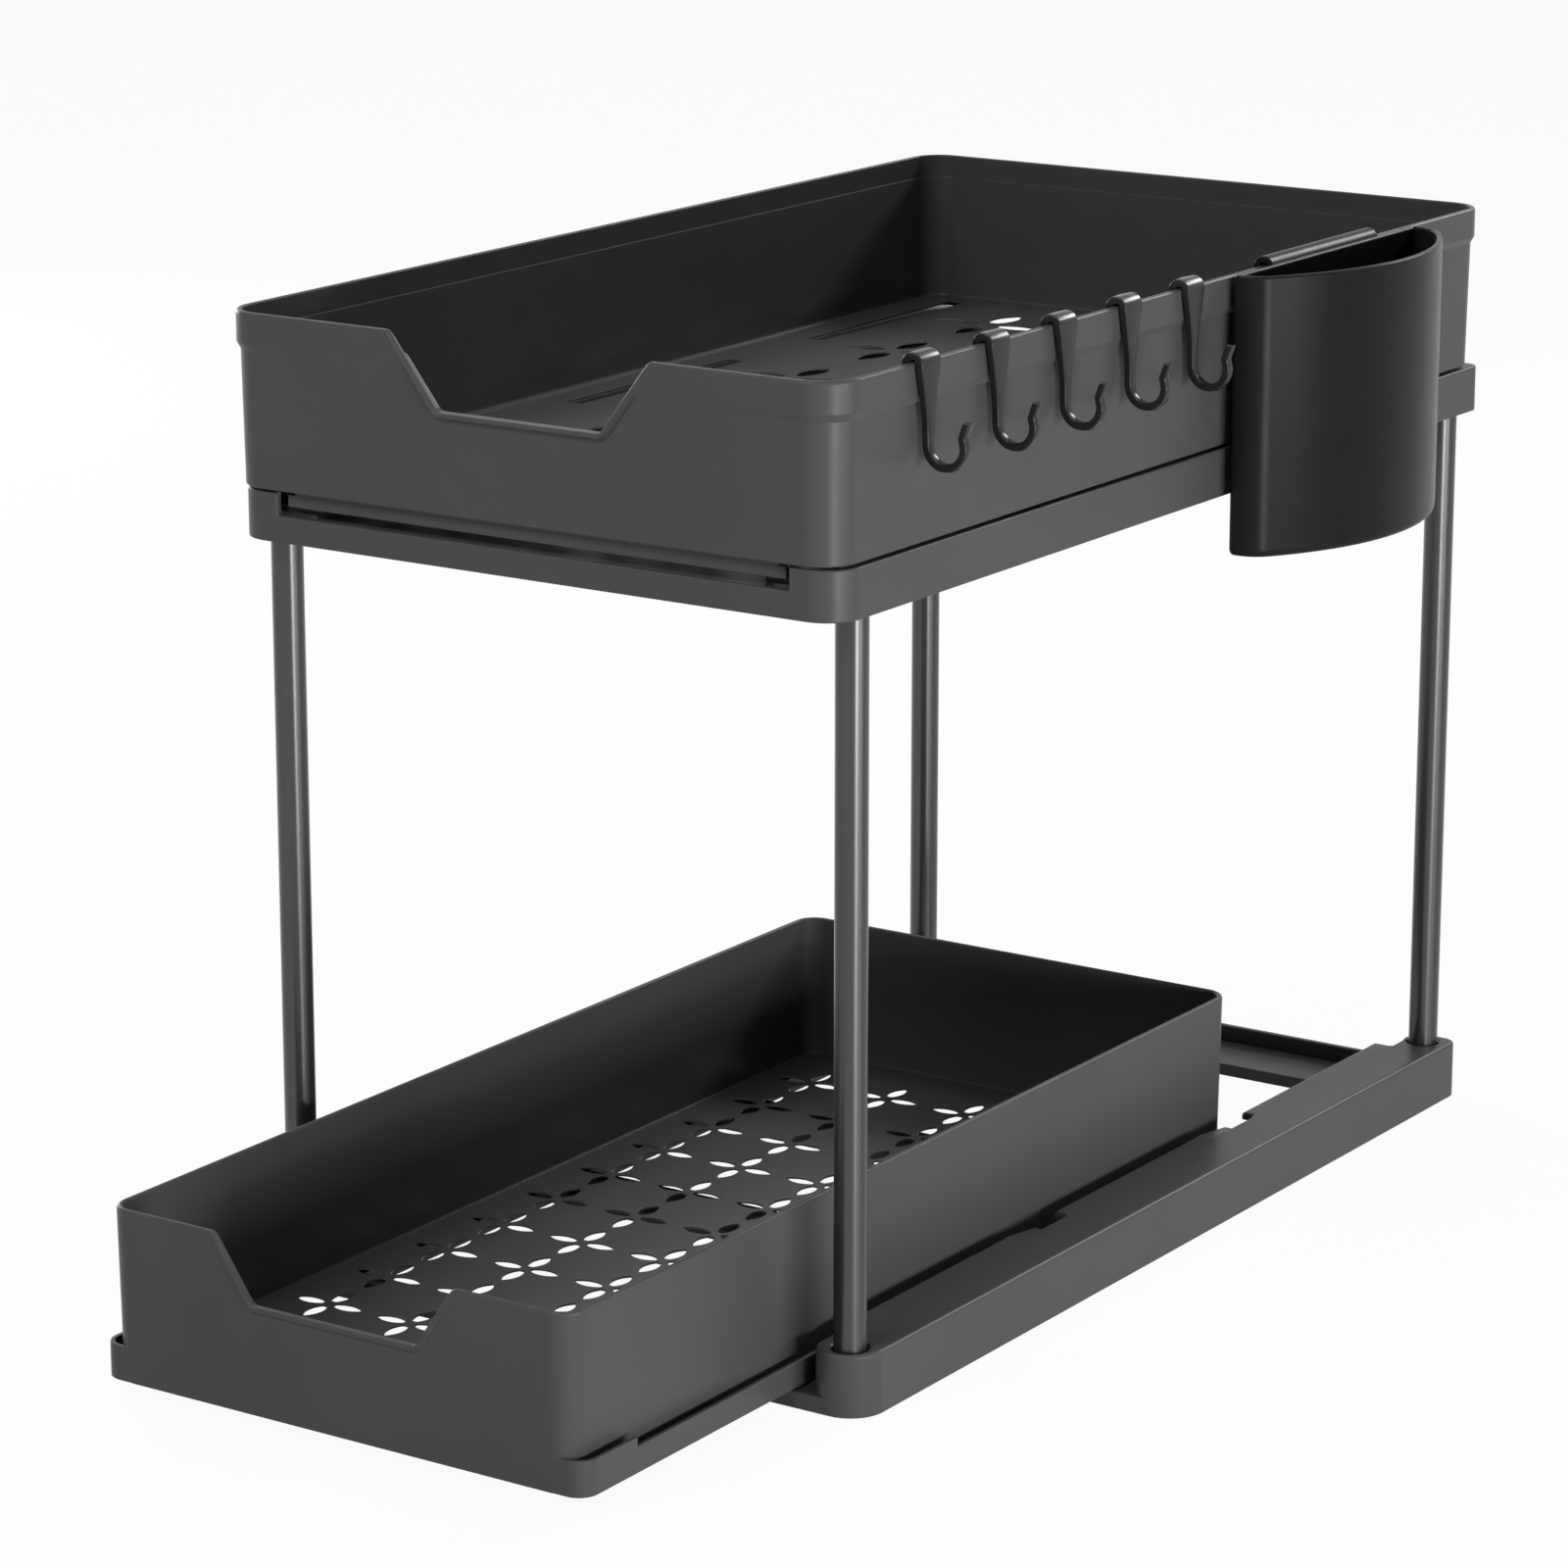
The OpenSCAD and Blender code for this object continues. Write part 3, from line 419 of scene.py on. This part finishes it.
base = Part()
for side in (-1, 1):
    sockets = [circle(side * POST_X, y, SOCKET_R) for y in (-POST_Y, POST_Y)]
    corners = [(BOSS_IN, -BY, 9.5), (BX, -BY, 13), (BX, BY, 4.5), (BOSS_REAR_IN, BY, 1.5)]
    rail = corners + [(BOSS_REAR_IN, BY - BOSS_L, 1), (BX - WALL, BY - BOSS_L, 1),
                      (BX - WALL, -BY + BOSS_L, 1), (BOSS_IN, -BY + BOSS_L, 1)]
    slab(base, [mirrored(rounded(rail, steps=10), side)] + sockets, 0, BH - WALL, 0.6, 0)
    plate = corners + [(BOSS_REAR_IN, BY - BOSS_L, 1), (PLATE_IN, BY - BOSS_L, 1.5)]
    for y in reversed(NOTCHES):
        plate += [(PLATE_IN, y + NOTCH_L, 1.2), (PLATE_IN + NOTCH_D, y + NOTCH_L, 1.6),
                  (PLATE_IN + NOTCH_D, y - RAMP_L, 1.6), (PLATE_IN, y - RAMP_L, 1.2)]
    plate += [(PLATE_IN, -BY + BOSS_L, 1), (BOSS_IN, -BY + BOSS_L, 1)]
    plate = mirrored(rounded(plate, steps=10), side)
    slab(base, [plate] + sockets, BH - WALL, BH, 0, 1.3, steps=5)
    for y in NOTCHES:
        ramp = [(y - RAMP_L - 1, 20.95), (y - RAMP_L, 20.9), (y, 18.9), (y, 18.3),
                (y - RAMP_L - 1, 18.6)]
        x0, x1 = sorted((side * (PLATE_IN + 0.2), side * (PLATE_IN + NOTCH_D + 0.5)))
        slab(base, [[Vector(p) for p in ramp]], x0, x1, 0.2, 0.2, axis="x")
    # The ledge the tray slides on, and its inner lip, a little further in than the ledge's edge
    side_block(base, side, (LEDGE_IN, -190.5, 3.5), (BX - 1, 199, 6), 0.3)
    side_block(base, side, (LEDGE_IN + 0.1, -190.4, 0), (LEDGE_IN + WALL, 198.9, 5.6), 0.3)
# Each socket ends on a floor
for x in (-POST_X, POST_X):
    for y in (-POST_Y, POST_Y):
        slab(base, [circle(x, y, SOCKET_R + 0.6)], 4.4, 5, 0, 0)
# Front sill, cross bars with their ribs, rear wall
slab(base, [box2(-BOSS_IN - 9, -BY, BOSS_IN + 9, -BY + 11)], 0, 5.8, 0.6, 0.5)
for y in BARS:
    block(base, (-BAR_HALF, y + 0.2, 2), (BAR_HALF, y + BAR_D - 0.2, BAR_TOP), 0.2)
    for y0 in (y, y + BAR_D - RIB):
        block(base, (-BAR_HALF, y0, 0), (BAR_HALF, y0 + RIB, BAR_TOP - 0.08), 0.3)
block(base, (-103, BY - WALL, 0), (103, BY, 10.4), 0.6)
make("base_frame_shell", base, frame_mat, "rack", ["base_frame"])

# --- Upper frame ---

# Half its width, its front and rear, its foot and top, and its corners' radii
UX, UF, UR, UZ, UH = 116.0, -210.7, 207.4, 255.7, 272.0
FRONT_R, REAR_R = 12, 4.5
# The sills' top, and half the width of the slot above each
SILL, SLOT = 264.6, 98.0
# The ledges' outer sides and ends
RAIL_X, RAIL_FRONT, RAIL_REAR = 114.2, -203.9, 205.2
# The bosses' inner sides, how far each reaches toward the middle, and half the webs' width
UPPER_BOSS_IN, UPPER_BOSS_Y, WEB_HALF = 101.55, 185.05, 86

upper = Part()
slot = [tuple(p) for p in rounded(
    [(-SLOT - 1, UH, 0), (-SLOT, UH, 0.8), (-SLOT, SILL, 0.8),
     (SLOT, SILL, 0.8), (SLOT, UH, 0.8), (SLOT + 1, UH, 0)], closed=False, steps=4)]
sill_front = [(FRONT_R - UX, UH)] + slot + [(UX - FRONT_R, UH)]
sill_rear = [(REAR_R - UX, UH)] + slot + [(UX - REAR_R, UH)]
wall(upper, oblong(UX, UF, UR, FRONT_R, REAR_R, UH, sill_front, sill_rear),
     [(UZ, 0.5), (UZ + 0.15, 0.15), (UZ + 0.5, 0)], [(UZ, 2.0), (UZ + 0.4, 2.5)],
     ro=0.7, ri=0.5)
for side in (-1, 1):
    # Top plate, ledge and lip of the rail that holds the tray's runner
    side_block(upper, side, (93.6, RAIL_FRONT, 270), (RAIL_X, RAIL_REAR + 0.3, UH - 0.02), 0.5)
    side_block(upper, side, (LEDGE_IN, RAIL_FRONT, 264.5), (RAIL_X, RAIL_REAR, 267), 0.4)
    side_block(upper, side, (LEDGE_IN + 0.1, RAIL_FRONT + 0.1, 257.2),
               (LEDGE_IN + WALL, RAIL_REAR - 0.1, 266.6), 0.4)
    for y0, y1, r0, r1 in ((UF + 0.5, -UPPER_BOSS_Y, FRONT_R, 1),
                           (UPPER_BOSS_Y, UR - 0.5, 1, REAR_R)):
        boss = [(UPPER_BOSS_IN, y0, 1), (UX - 0.5, y0, r0), (UX - 0.5, y1, r1),
                (UPPER_BOSS_IN, y1, 1)]
        hole = circle(side * POST_X, math.copysign(POST_Y, y0), SOCKET_R)
        slab(upper, [mirrored(rounded(boss, steps=10), side), hole], UZ, 265, 0.5, 0)
# The webs behind the sills close the view under the tray's runners
for y0, y1 in ((-209.7, -193.5), (190.2, 206.4)):
    block(upper, (-WEB_HALF, y0, 262.1), (WEB_HALF, y1, SILL - 0.7), 0.3)
make("upper_frame_shell", upper, frame_mat, "rack", ["upper_frame"])

# --- Posts ---

TUBE_R, BORE_R, TUBE_LOW, TUBE_HIGH = 5.25, 4.25, 8, 262
for end, y in (("front", -POST_Y), ("rear", POST_Y)):
    for side, x in (("left", -POST_X), ("right", POST_X)):
        tube = Part()
        rings = [circle(x, y, TUBE_R, 64), circle(x, y, BORE_R, 64)]
        slab(tube, rings, TUBE_LOW, TUBE_HIGH, 0.3, 0.3)
        make(f"tube_{end}_{side}", tube, post_mat, "rack", [f"post_{end}_{side}"])
# The plugs inside the tubes stay as their own nodes
for name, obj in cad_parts.items():
    if name.startswith("plug_"):
        obj.data.materials.clear()
        obj.data.materials.append(plug_mat)

# --- Lower tray ---

# Half its width, its front and rear, its foot, rim and floor, and its corners' radius
LX, LF, LR, LZ, LTOP, LFLOOR, LR_CORNER = 89.9, -314.0, 82.5, 6.3, 64.0, 12.0, 9


def dipped(half, top_w, bottom_w, deep, top):
    """A rim line with a scoop in its middle.

    The scoop's slopes are cut fine, so that lines along the wall run level up to them.
    """
    line = [(-half, top)] + [tuple(p) for p in rounded(
        [(-half + 4, top, 0), (-top_w / 2, top, 3), (-bottom_w / 2, top - deep, 3),
         (bottom_w / 2, top - deep, 3), (top_w / 2, top, 3), (half - 4, top, 0)],
        closed=False, steps=8)] + [(half, top)]
    fine = [line[0]]
    for (x0, z0), (x1, z1) in zip(line, line[1:]):
        cuts = max(1, math.ceil(abs(z1 - z0) / 0.8))
        fine += [(x0 + (x1 - x0) * k / cuts, z0 + (z1 - z0) * k / cuts)
                 for k in range(1, cuts + 1)]
    return fine


lower = Part()
rim = dipped(LX - LR_CORNER, 92, 63, 21.3, LTOP)
wall(lower, oblong(LX, LF, LR, LR_CORNER, LR_CORNER, LTOP, rim),
     [(LZ, 1.6), (LZ + 0.4, 1.3), (LTOP - 2, 0.45), (LTOP, 0.45)],
     [(LZ, 2.8), (LFLOOR - 1.2, 3.1), (LFLOOR - 1.2, 5.2), (LFLOOR + 0.02, 5.2),
      (LFLOOR + 0.02, 4.0), (LFLOOR + 0.3, 3.4), (LFLOOR + 1, 3.1), (LTOP, 2.3)],
     ro=1.0, ri=0.7, lip=0.0, lip_h=2.2)
petals = flowers([-66, -33, 0, 33, 66], [48 - 31.2 * k for k in range(12)], 13.3)
plan = box2(-LX + 4.5, LF + 4.5, LX - 4.5, LR - 4.5, 5)
slab(lower, [plan] + petals, LFLOOR - 0.7, LFLOOR, 0.1, 0.25, steps=2)
# Runner: an upright lip that starts at the front corner, higher at the front, on a thin foot.
# Its front lies just behind the wall's front, so that the two make one plain face.
RX, RF, RR = 93.8, LF + 1.35, 75.5
for z1, y1, extra in ((15.0, RR, 0), (18.0, -285.5, 0.01)):
    wall(lower, oblong(RX, RF, y1, 7, 7, z1, open_rear=True),
         [(LZ, 0.4 + extra), (LZ + 0.3, extra)], [(LZ, 1.6 - extra), (LZ + 0.3, 1.6 - extra)],
         ro=0.3, ri=0.3, closed=False)
for side in (-1, 1):
    side_block(lower, side, (LX - 3, RF + 7, LZ + 0.1), (RX - 0.3, RR - 0.1, LZ + 1.6), 0.3)
    side_block(lower, side, (LX - 3, RF + 2, LZ + 0.1), (RX - 2.8, RF + 8, LZ + 1.5), 0.3)
    # Lugs that run under the rail's top plate
    for y in (-88, 40.5):
        side_block(lower, side, (RX - 1.5, y, LZ), (99.6, y + 10, 18.2), 0.5)
make("lower_tray_shell", lower, tray_mat, "lower_drawer", ["lower_tray"])

# --- Upper tray ---

# Half its width, its front and rear, its foot, rim and floor, and the radii of its corners
TX, TF, TR, TZ, TTOP, TFLOOR = 117.6, -214.5, 206.6, 272.9, 329.7, 276.5
TF_CORNER, TR_CORNER = 14, 12.5
# The rows of cutouts lie about this y
PATTERN_Y = -3.95
# The runner's T: half the width of its neck, its foot and its rear end
NECK_X, FOOT_Z, RUNNER_REAR = 92.7, 267.3, 203.9

tray = Part()
rim = dipped(TX - TF_CORNER, 99, 62, 24, TTOP)
wall(tray, oblong(TX, TF, TR, TF_CORNER, TR_CORNER, TTOP, rim),
     [(TZ, 2.8), (TZ + 0.2, 2.5), (TZ + 0.6, 2.3), (316.9, 1.6), (317.2, 1.5), (319.3, 0.36),
      (319.6, 0.3), (TTOP, 0.3)],
     [(TZ, 4.0), (TFLOOR - 1.2, 4.3), (TFLOOR - 1.2, 7.5), (TFLOOR + 0.02, 7.5),
      (TFLOOR + 0.02, 5.6), (TFLOOR + 0.4, 4.9), (TFLOOR + 1.4, 4.5), (321.5, 3.4), (321.7, 3.3),
      (321.72, 2.35), (TTOP, 2.3)],
     ro=1.1, ri=0.6, lip=0.0, lip_h=2.2)
holes = flowers([-60.5, 0, 60.5], [PATTERN_Y + 64.5 * (k - 2.5) for k in range(6)], 22.4)
for side in (-1, 1):
    for k in (-1, 0, 1):
        x, y = side * 96.25, PATTERN_Y + 149 * k
        holes.append(box2(x - 3.25, y - 49, x + 3.25, y + 49, 1.2))
plan = box2(-TX + 7, TF + 7, TX - 7, TR - 7, 8)
slab(tray, [plan] + holes, TFLOOR - 0.7, TFLOOR, 0.1, 0.25, steps=2)
# The runners' front face, in two plates a hair apart
block(tray, (-NECK_X, -208.1, 270.6), (NECK_X, -204.3, 275.6), 0.3)
block(tray, (-95.5, -208.2, FOOT_Z), (95.5, -204.2, 271.3), 0.3)
for side in (-1, 1):
    # Neck, foot and rear stop of one runner
    side_block(tray, side, (90.5, -206.4, FOOT_Z), (NECK_X, RUNNER_REAR, 275.6), 0.3)
    side_block(tray, side, (90.2, -206.0, FOOT_Z), (97.2, RUNNER_REAR, 269.7), 0.3)
    side_block(tray, side, (96.2, 46.8, FOOT_Z), (100, 56.8, 269.7), 0.3)
make("upper_tray_shell", tray, tray_mat, "upper_drawer", ["upper_tray"])

# --- Hooks ---

# The clip's arch over the rim: its middle, its inner radius, and the hooks' thickness
ARCH_X, ARCH_Z, ARCH_IN, HOOK_T = 116.45, 329.2, 1.35, 2.4
ARCH_OUT = ARCH_IN + HOOK_T
# The inner leg's foot, the outer leg's inner side, and the bend at its end
CLIP_FOOT = 323.0
STRAP = ARCH_X + ARCH_IN
LOW_Z = ARCH_Z + ARCH_OUT - 36.5
BEND_R = 7.85
BEND_Z = LOW_Z + BEND_R
# Half a hook's width at its bend, and the stations (z, half width) up its strap
BEND_HALF = 1.6
WIDTHS = [(BEND_Z, BEND_HALF), (311.5, 1.98), (318.2, 3.2), (325.8, 4.8), (328.2, 5.35),
          (340, 5.35)]
# The hooks are spaced evenly, forward from the last one
LAST_HOOK_Y, HOOK_PITCH = -6.4, 40


def clip_side():
    """Side view of a clip, from its inner leg's foot over the arch: outer edge, inner edge."""
    over, under = [(ARCH_X - ARCH_OUT, CLIP_FOOT)], [(ARCH_X - ARCH_IN, CLIP_FOOT)]
    for k in range(17):
        a = math.pi - math.pi * k / 16
        over.append((ARCH_X + ARCH_OUT * math.cos(a), ARCH_Z + ARCH_OUT * math.sin(a)))
        under.append((ARCH_X + ARCH_IN * math.cos(a), ARCH_Z + ARCH_IN * math.sin(a)))
    return over, under


def hook_side():
    """Side view of a hook: clip, strap, bend and the tip that turns outward."""
    over, under = clip_side()
    z = ARCH_Z - 2
    while z > BEND_Z + 1:
        over.append((STRAP + HOOK_T, z))
        under.append((STRAP, z))
        z -= 2
    bend_x, in_r = STRAP + BEND_R, BEND_R - HOOK_T
    for k in range(21):
        a = math.pi + math.pi * k / 20
        over.append((bend_x + in_r * math.cos(a), BEND_Z + in_r * math.sin(a)))
        under.append((bend_x + BEND_R * math.cos(a), BEND_Z + BEND_R * math.sin(a)))
    tip = STRAP + 2 * BEND_R - HOOK_T
    for dx, dz in ((-0.35, 9.6), (-0.68, 11), (-0.5, 11.6), (1.02, 15.8)):
        over.append((tip + dx, LOW_Z + dz))
        under.append((tip + HOOK_T + dx, LOW_Z + dz))
    return [Vector(p) for p in over + under[::-1]]


def hook_shape(y0):
    """Sets a hook at y0, widens its strap, and keeps its crease below the arch's top."""
    def move(x, y, z):
        half = inset_at(WIDTHS, z) if x < STRAP + HOOK_T + 1 else BEND_HALF
        grow = math.copysign(half - BEND_HALF, y) * min(abs(y) / 1.1, 1)
        return x, y0 + y + grow, min(z, ARCH_Z + ARCH_OUT - 0.02)
    return move


for n in range(1, 6):
    y0 = LAST_HOOK_Y - (5 - n) * HOOK_PITCH
    hook = Part()
    slab(hook, [hook_side()], -BEND_HALF, BEND_HALF, 0.4, 0.4, axis="y", mids=[(0.0, -0.18)],
         shape=hook_shape(y0))
    make(f"hook_{n}_shape", hook, hook_mat, f"hook_body_{n}", [f"hook_{n}"])

# --- Cup ---

# Its back's x, its middle's y, its width, depth, rim and height
CX, CY, CW, CD, CTOP, CH = 119.3, 81.5, 126.0, 32.17, 330.5, 94.0
# The radii of its bowed front, its front corners and its back corners, and its wall
BOW_R, CORNER_R, BACK_R, CUP_WALL = 100.0, 12.0, 2.3, 2.2
# How far the foot's rounding reaches up and in
FOOT_UP, FOOT_IN = 3, 2.1
CLIP_HALF = 37

bow_x = CX + CD - BOW_R
corner_y = CW / 2 - CORNER_R
corner_x = bow_x + math.sqrt((BOW_R - CORNER_R) ** 2 - corner_y ** 2)


def cup_columns():
    """Round the cup, anticlockwise from its front corner, bow and back."""
    bow = math.atan2(corner_y, corner_x - bow_x)
    out = bend(corner_x, CY - corner_y, CORNER_R, -math.pi / 2, math.pi / 2 - bow, 8)
    out += bend(bow_x, CY, BOW_R, -bow, 2 * bow, 32)[1:-1]
    out += bend(corner_x, CY + corner_y, CORNER_R, bow, math.pi / 2 - bow, 8)
    for sy, start in ((1, math.pi / 2), (-1, math.pi)):
        out += bend(CX + BACK_R, CY + sy * (CW / 2 - BACK_R), BACK_R, start, math.pi / 2, 4)
    return [(*point, CTOP, 0, 1) for point in out]


cup = Part()
low = CTOP - CH
turns = [math.pi / 2 * k / 6 for k in range(1, 7)]
foot = [(low + FOOT_UP * (1 - math.cos(a)), FOOT_IN * (1 - math.sin(a)) ** 1.5) for a in turns]
wall(cup, cup_columns(), [(low, FOOT_IN)] + foot + [(CTOP, 0)],
     [(low, CUP_WALL), (CTOP, CUP_WALL)], ro=0.9, ri=0.9)
plan = [Vector((c[0] - c[2] * 2.15, c[1] - c[3] * 2.15)) for c in cup_columns()]
slab(cup, [plan], low, low + CUP_WALL, 0, 0)
over, under = clip_side()
over += [(STRAP + HOOK_T, CLIP_FOOT)]
under += [(STRAP, CLIP_FOOT)]
clip = [Vector(p) for p in over + under[::-1]]
slab(cup, [clip], CY - CLIP_HALF, CY + CLIP_HALF, 0.5, 0.5, axis="y")
make("cup_shell", cup, cup_mat, "cup_body", ["cup"])

# --- Floor, light and camera ---

# Half the floor's side and its height, in metres
FLOOR_HALF, FLOOR_Z = 12, -0.0003
# The floor's pale grey, and its share of pure white to the rays that see the background
FLOOR_PALE, FLOOR_WHITE = 0.8, 0.95
# The world's strength as it lights the object, and to the rays that see the background
WORLD_SOFT, WORLD_SEEN = 0.08, 1.0


def looking(nodes, links):
    """A socket that is 1 for the rays that see the background: camera, glossy, transmission."""
    path = nodes.new("ShaderNodeLightPath")
    socket = path.outputs["Is Camera Ray"]
    for name in ("Is Glossy Ray", "Is Transmission Ray"):
        most = nodes.new("ShaderNodeMath")
        most.operation = "MAXIMUM"
        links.new(socket, most.inputs[0])
        links.new(path.outputs[name], most.inputs[1])
        socket = most.outputs["Value"]
    return socket


scene = bpy.context.scene
mesh = bpy.data.meshes.new("floor")
corners = [(x * FLOOR_HALF, y * FLOOR_HALF, FLOOR_Z)
           for x, y in ((-1, -1), (1, -1), (1, 1), (-1, 1))]
mesh.from_pydata(corners, [], [(0, 1, 2, 3)])
floor = bpy.data.objects.new("floor", mesh)
scene.collection.objects.link(floor)
mat = bpy.data.materials.new("pale_floor")
mat.use_nodes = True
nodes, links = mat.node_tree.nodes, mat.node_tree.links
nodes.clear()
out = nodes.new("ShaderNodeOutputMaterial")
pale = nodes.new("ShaderNodeBsdfDiffuse")
pale.inputs["Color"].default_value = (FLOOR_PALE, FLOOR_PALE, FLOOR_PALE, 1)
white = nodes.new("ShaderNodeEmission")
share = nodes.new("ShaderNodeMath")
share.operation = "MULTIPLY"
share.inputs[1].default_value = FLOOR_WHITE
mix = nodes.new("ShaderNodeMixShader")
links.new(looking(nodes, links), share.inputs[0])
links.new(share.outputs["Value"], mix.inputs["Fac"])
links.new(pale.outputs["BSDF"], mix.inputs[1])
links.new(white.outputs["Emission"], mix.inputs[2])
links.new(mix.outputs["Shader"], out.inputs["Surface"])
mesh.materials.append(mat)

world = bpy.data.worlds.new("studio")
scene.world = world
world.use_nodes = True
nodes, links = world.node_tree.nodes, world.node_tree.links
nodes.clear()
out = nodes.new("ShaderNodeOutputWorld")
mix = nodes.new("ShaderNodeMixShader")
links.new(looking(nodes, links), mix.inputs["Fac"])
for slot, strength in ((1, WORLD_SOFT), (2, WORLD_SEEN)):
    sky = nodes.new("ShaderNodeBackground")
    sky.inputs["Color"].default_value = (1, 1, 1, 1)
    sky.inputs["Strength"].default_value = strength
    links.new(sky.outputs["Background"], mix.inputs[slot])
links.new(mix.outputs["Shader"], out.inputs["Surface"])


def lamp(name, azimuth, elevation, distance, width, height, watts):
    """A soft panel aimed at the object's middle; azimuth 0 is in front and 90 on the right."""
    a, e = math.radians(azimuth), math.radians(elevation)
    aim = Vector((0, 0.19, 0.15))
    way = Vector((math.sin(a) * math.cos(e), -math.cos(a) * math.cos(e), math.sin(e)))
    data = bpy.data.lights.new(name, "AREA")
    data.shape = "RECTANGLE"
    data.size, data.size_y, data.energy = width, height, watts
    obj = bpy.data.objects.new(name, data)
    obj.location = aim + distance * way
    obj.rotation_euler = (aim - obj.location).to_track_quat("-Z", "Y").to_euler()
    obj.visible_camera = False
    scene.collection.objects.link(obj)


lamp("key", 83, 3, 1.6, 0.7, 0.2, 12)
lamp("edge_strip", 60, -3, 1.4, 0.36, 0.16, 9)
lamp("front", -8, 40, 2.0, 1.0, 0.5, 20)
lamp("rear", 163, 31, 2.0, 0.8, 0.3, 16)
lamp("left", -110, 8, 2.0, 1.0, 0.7, 14)
lamp("rim", -116, 54, 2.0, 0.5, 0.5, 8)

# The camera that fits the photo's edges best without a shift: how far it looks down and turns
LOOK_DOWN, TURN = 0.25658, 0.59163
camera = bpy.data.cameras.new("camera")
camera.lens = 125.685
camera.sensor_width = 36
camera.clip_start, camera.clip_end = 0.05, 50
eye = bpy.data.objects.new("camera", camera)
eye.location = (0.98825, -1.34246, 0.62422)
eye.rotation_euler = (math.pi / 2 - LOOK_DOWN, 0, TURN)
scene.collection.objects.link(eye)
scene.camera = eye
scene.view_settings.view_transform = "Standard"
